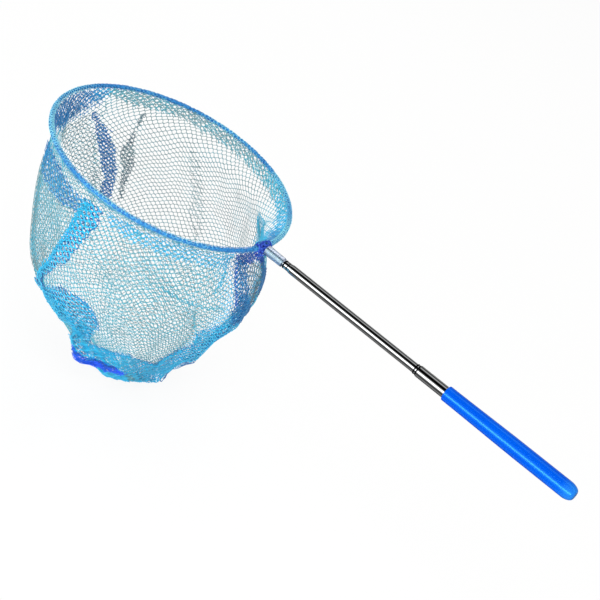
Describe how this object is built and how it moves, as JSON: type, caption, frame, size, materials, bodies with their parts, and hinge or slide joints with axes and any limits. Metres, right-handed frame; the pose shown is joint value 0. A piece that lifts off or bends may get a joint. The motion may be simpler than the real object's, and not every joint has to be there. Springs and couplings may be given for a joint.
{
  "type": "telescopic net",
  "caption": "Hand net with a round wire hoop, a knitted mesh bag and a telescopic steel pole with a plastic grip, for catching insects and small fish.",
  "frame": {"origin": "on the pole's axis, at the middle of the grip", "axes": "+X along the pole from the grip to the net, +Z out of the hoop's mouth, so the bag hangs to -Z"},
  "size_m": [0.4974, 0.2032, 0.1907],
  "materials": {
    "grip": "gloss blue plastic",
    "tube_1": "polished stainless steel",
    "tube_2": "polished stainless steel",
    "tube_3": "polished stainless steel",
    "tube_4": "polished stainless steel",
    "tube_5": "polished stainless steel",
    "wire": "drawn wire",
    "shim": "rolled bronze strip",
    "sleeve": "clear plastic tube",
    "casing": "folded knitted net",
    "net": "fine knitted net",
    "tie": "sewing thread and gathered net"
  },
  "bodies": {
    "handle": {"grip": "grip", "tube_1": "tube_1"},
    "section_2": {"tube_2": "tube_2", "spring_shim_2_left": "shim", "spring_shim_2_right": "shim"},
    "section_3": {"tube_3": "tube_3", "spring_shim_3_left": "shim", "spring_shim_3_right": "shim"},
    "section_4": {"tube_4": "tube_4", "spring_shim_4_left": "shim", "spring_shim_4_right": "shim"},
    "section_5": {"spring_shim_5_left": "shim", "spring_shim_5_right": "shim"},
    "net_head": {"tube_5": "tube_5", "clear_sleeve": "sleeve", "hoop_wire": "wire", "rim_casing": "casing", "net_bag": "net", "neck_tie": "tie"}
  },
  "joints": [
    {"name": "slide_2", "type": "slide", "parent": "handle", "child": "section_2", "axis": [1, 0, 0], "range_m": [-0.125, 0]},
    {"name": "slide_3", "type": "slide", "parent": "section_2", "child": "section_3", "axis": [1, 0, 0], "range_m": [0, 0.1243]},
    {"name": "slide_4", "type": "slide", "parent": "section_3", "child": "section_4", "axis": [1, 0, 0], "range_m": [0, 0.1267]},
    {"name": "slide_5", "type": "slide", "parent": "section_4", "child": "section_5", "axis": [1, 0, 0], "range_m": [0, 0.1273]},
    {"name": "net_turn", "type": "hinge", "parent": "section_5", "child": "net_head", "pos_m": [0.079, 0, 0], "axis": [1, 0, 0], "continuous": true}
  ]
}
